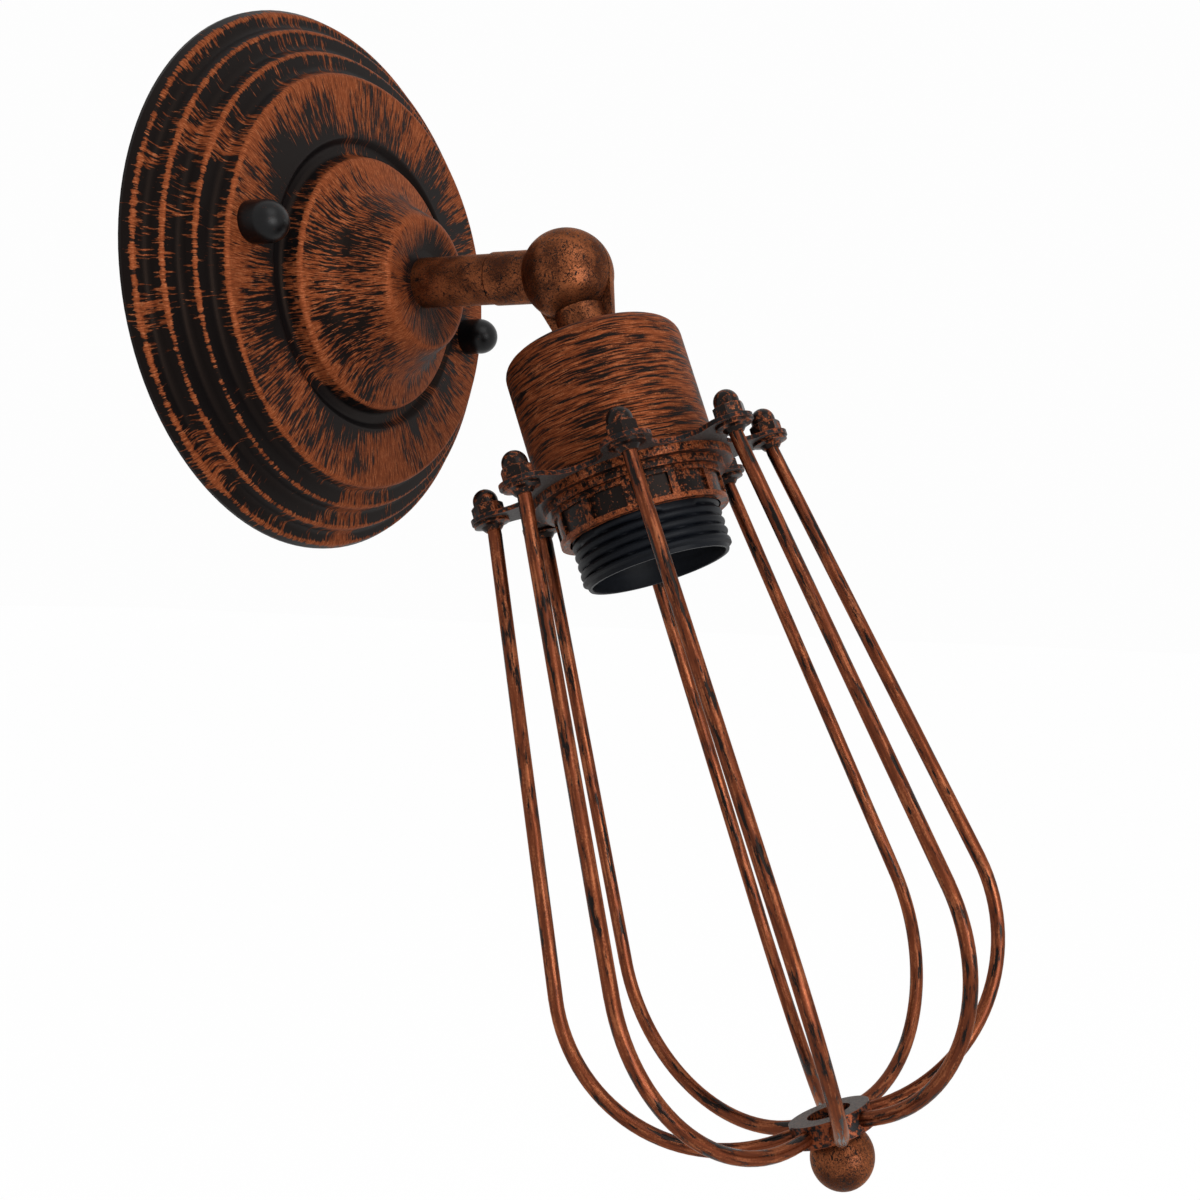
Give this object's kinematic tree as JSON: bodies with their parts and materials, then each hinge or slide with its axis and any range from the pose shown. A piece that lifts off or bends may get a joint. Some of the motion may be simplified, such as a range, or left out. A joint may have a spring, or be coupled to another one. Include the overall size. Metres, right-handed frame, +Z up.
{
  "type": "cage wall light",
  "caption": "Wall light with a stepped round wall plate, a short arm, a tilting knuckle, a cup with a screw lampholder and a wire cage held on by a screwed ring.",
  "frame": {"origin": "centre of the wall plate's open back, which is also the centre of the two wall screws", "axes": "+Z up, +Y into the wall, so the light stands out along -Y; +X to the right for someone facing the light"},
  "size_m": [0.145, 0.1942, 0.2929],
  "materials": {
    "copper": "copper brushed off unevenly over black, satin lacquer",
    "dark_copper": "darker brushed copper over black, satin lacquer",
    "black_metal": "black lacquer worn to copper on the dome",
    "zinc": "zinc plated steel",
    "brass": "plain pressed brass",
    "black_plastic": "moulded, low sheen",
    "ceramic": "off-white glazed"
  },
  "bodies": {
    "wall_side": {"wall_plate": "copper", "wall_bracket": "zinc", "bracket_studs": "zinc", "stud_locknuts": "zinc", "stud_knobs": "black_metal", "earth_screw": "brass", "earth_washer": "brass", "arm_nipple": "zinc", "arm_lock_washer": "zinc", "arm_locknut": "zinc", "arm_sleeve": "dark_copper", "knuckle_arm_half": "dark_copper", "knuckle_screw": "zinc", "knuckle_spring_washer": "zinc", "knuckle_friction_washer": "brass"},
    "head": {"knuckle_head_half": "dark_copper", "holder_cup": "copper", "holder_nipple": "zinc", "holder_locknut": "zinc", "lampholder_cap": "black_plastic", "lampholder_skirt": "black_plastic", "contact_block": "ceramic", "screw_shell": "brass", "contact_rivet": "brass", "terminal_clamps": "brass", "terminal_screws": "zinc"},
    "contact": {"centre_contact": "brass"},
    "cage": {"cage_plate": "copper", "cage_wire_1": "copper", "cage_wire_2": "copper", "cage_wire_3": "copper", "cage_wire_4": "copper", "cage_wire_5": "copper", "cage_wire_6": "copper", "cage_wire_7": "copper", "cage_wire_8": "copper", "wire_collars": "copper", "cap_nuts": "copper", "cage_hub": "copper", "ball_finial": "dark_copper"},
    "ring": {"shade_ring": "copper"}
  },
  "joints": [
    {"name": "head_tilt", "type": "hinge", "parent": "wall_side", "child": "head", "pos_m": [0, -0.0772, 0], "axis": [-1, 0, 0], "range_deg": [-21.2, 158.8]},
    {"name": "contact_flex", "type": "hinge", "parent": "head", "child": "contact", "pos_m": [0, -0.10108, -0.04222], "axis": [1, 0, 0], "range_deg": [0, 6], "stiffness_Nm_per_rad": 0.13},
    {"name": "cage_slide", "type": "slide", "parent": "head", "child": "cage", "axis": [0, -0.3616, -0.9323], "range_m": [0, 0.02]},
    {"name": "ring_turn", "type": "hinge", "parent": "cage", "child": "ring", "pos_m": [0, -0.10016, -0.0592], "axis": [0, -0.3616, -0.9323], "range_deg": [0, 2880]}
  ],
  "couplings": [
    {"joint": "cage_slide", "follows": "ring_turn", "m_per_rad": 0.00039788}
  ]
}
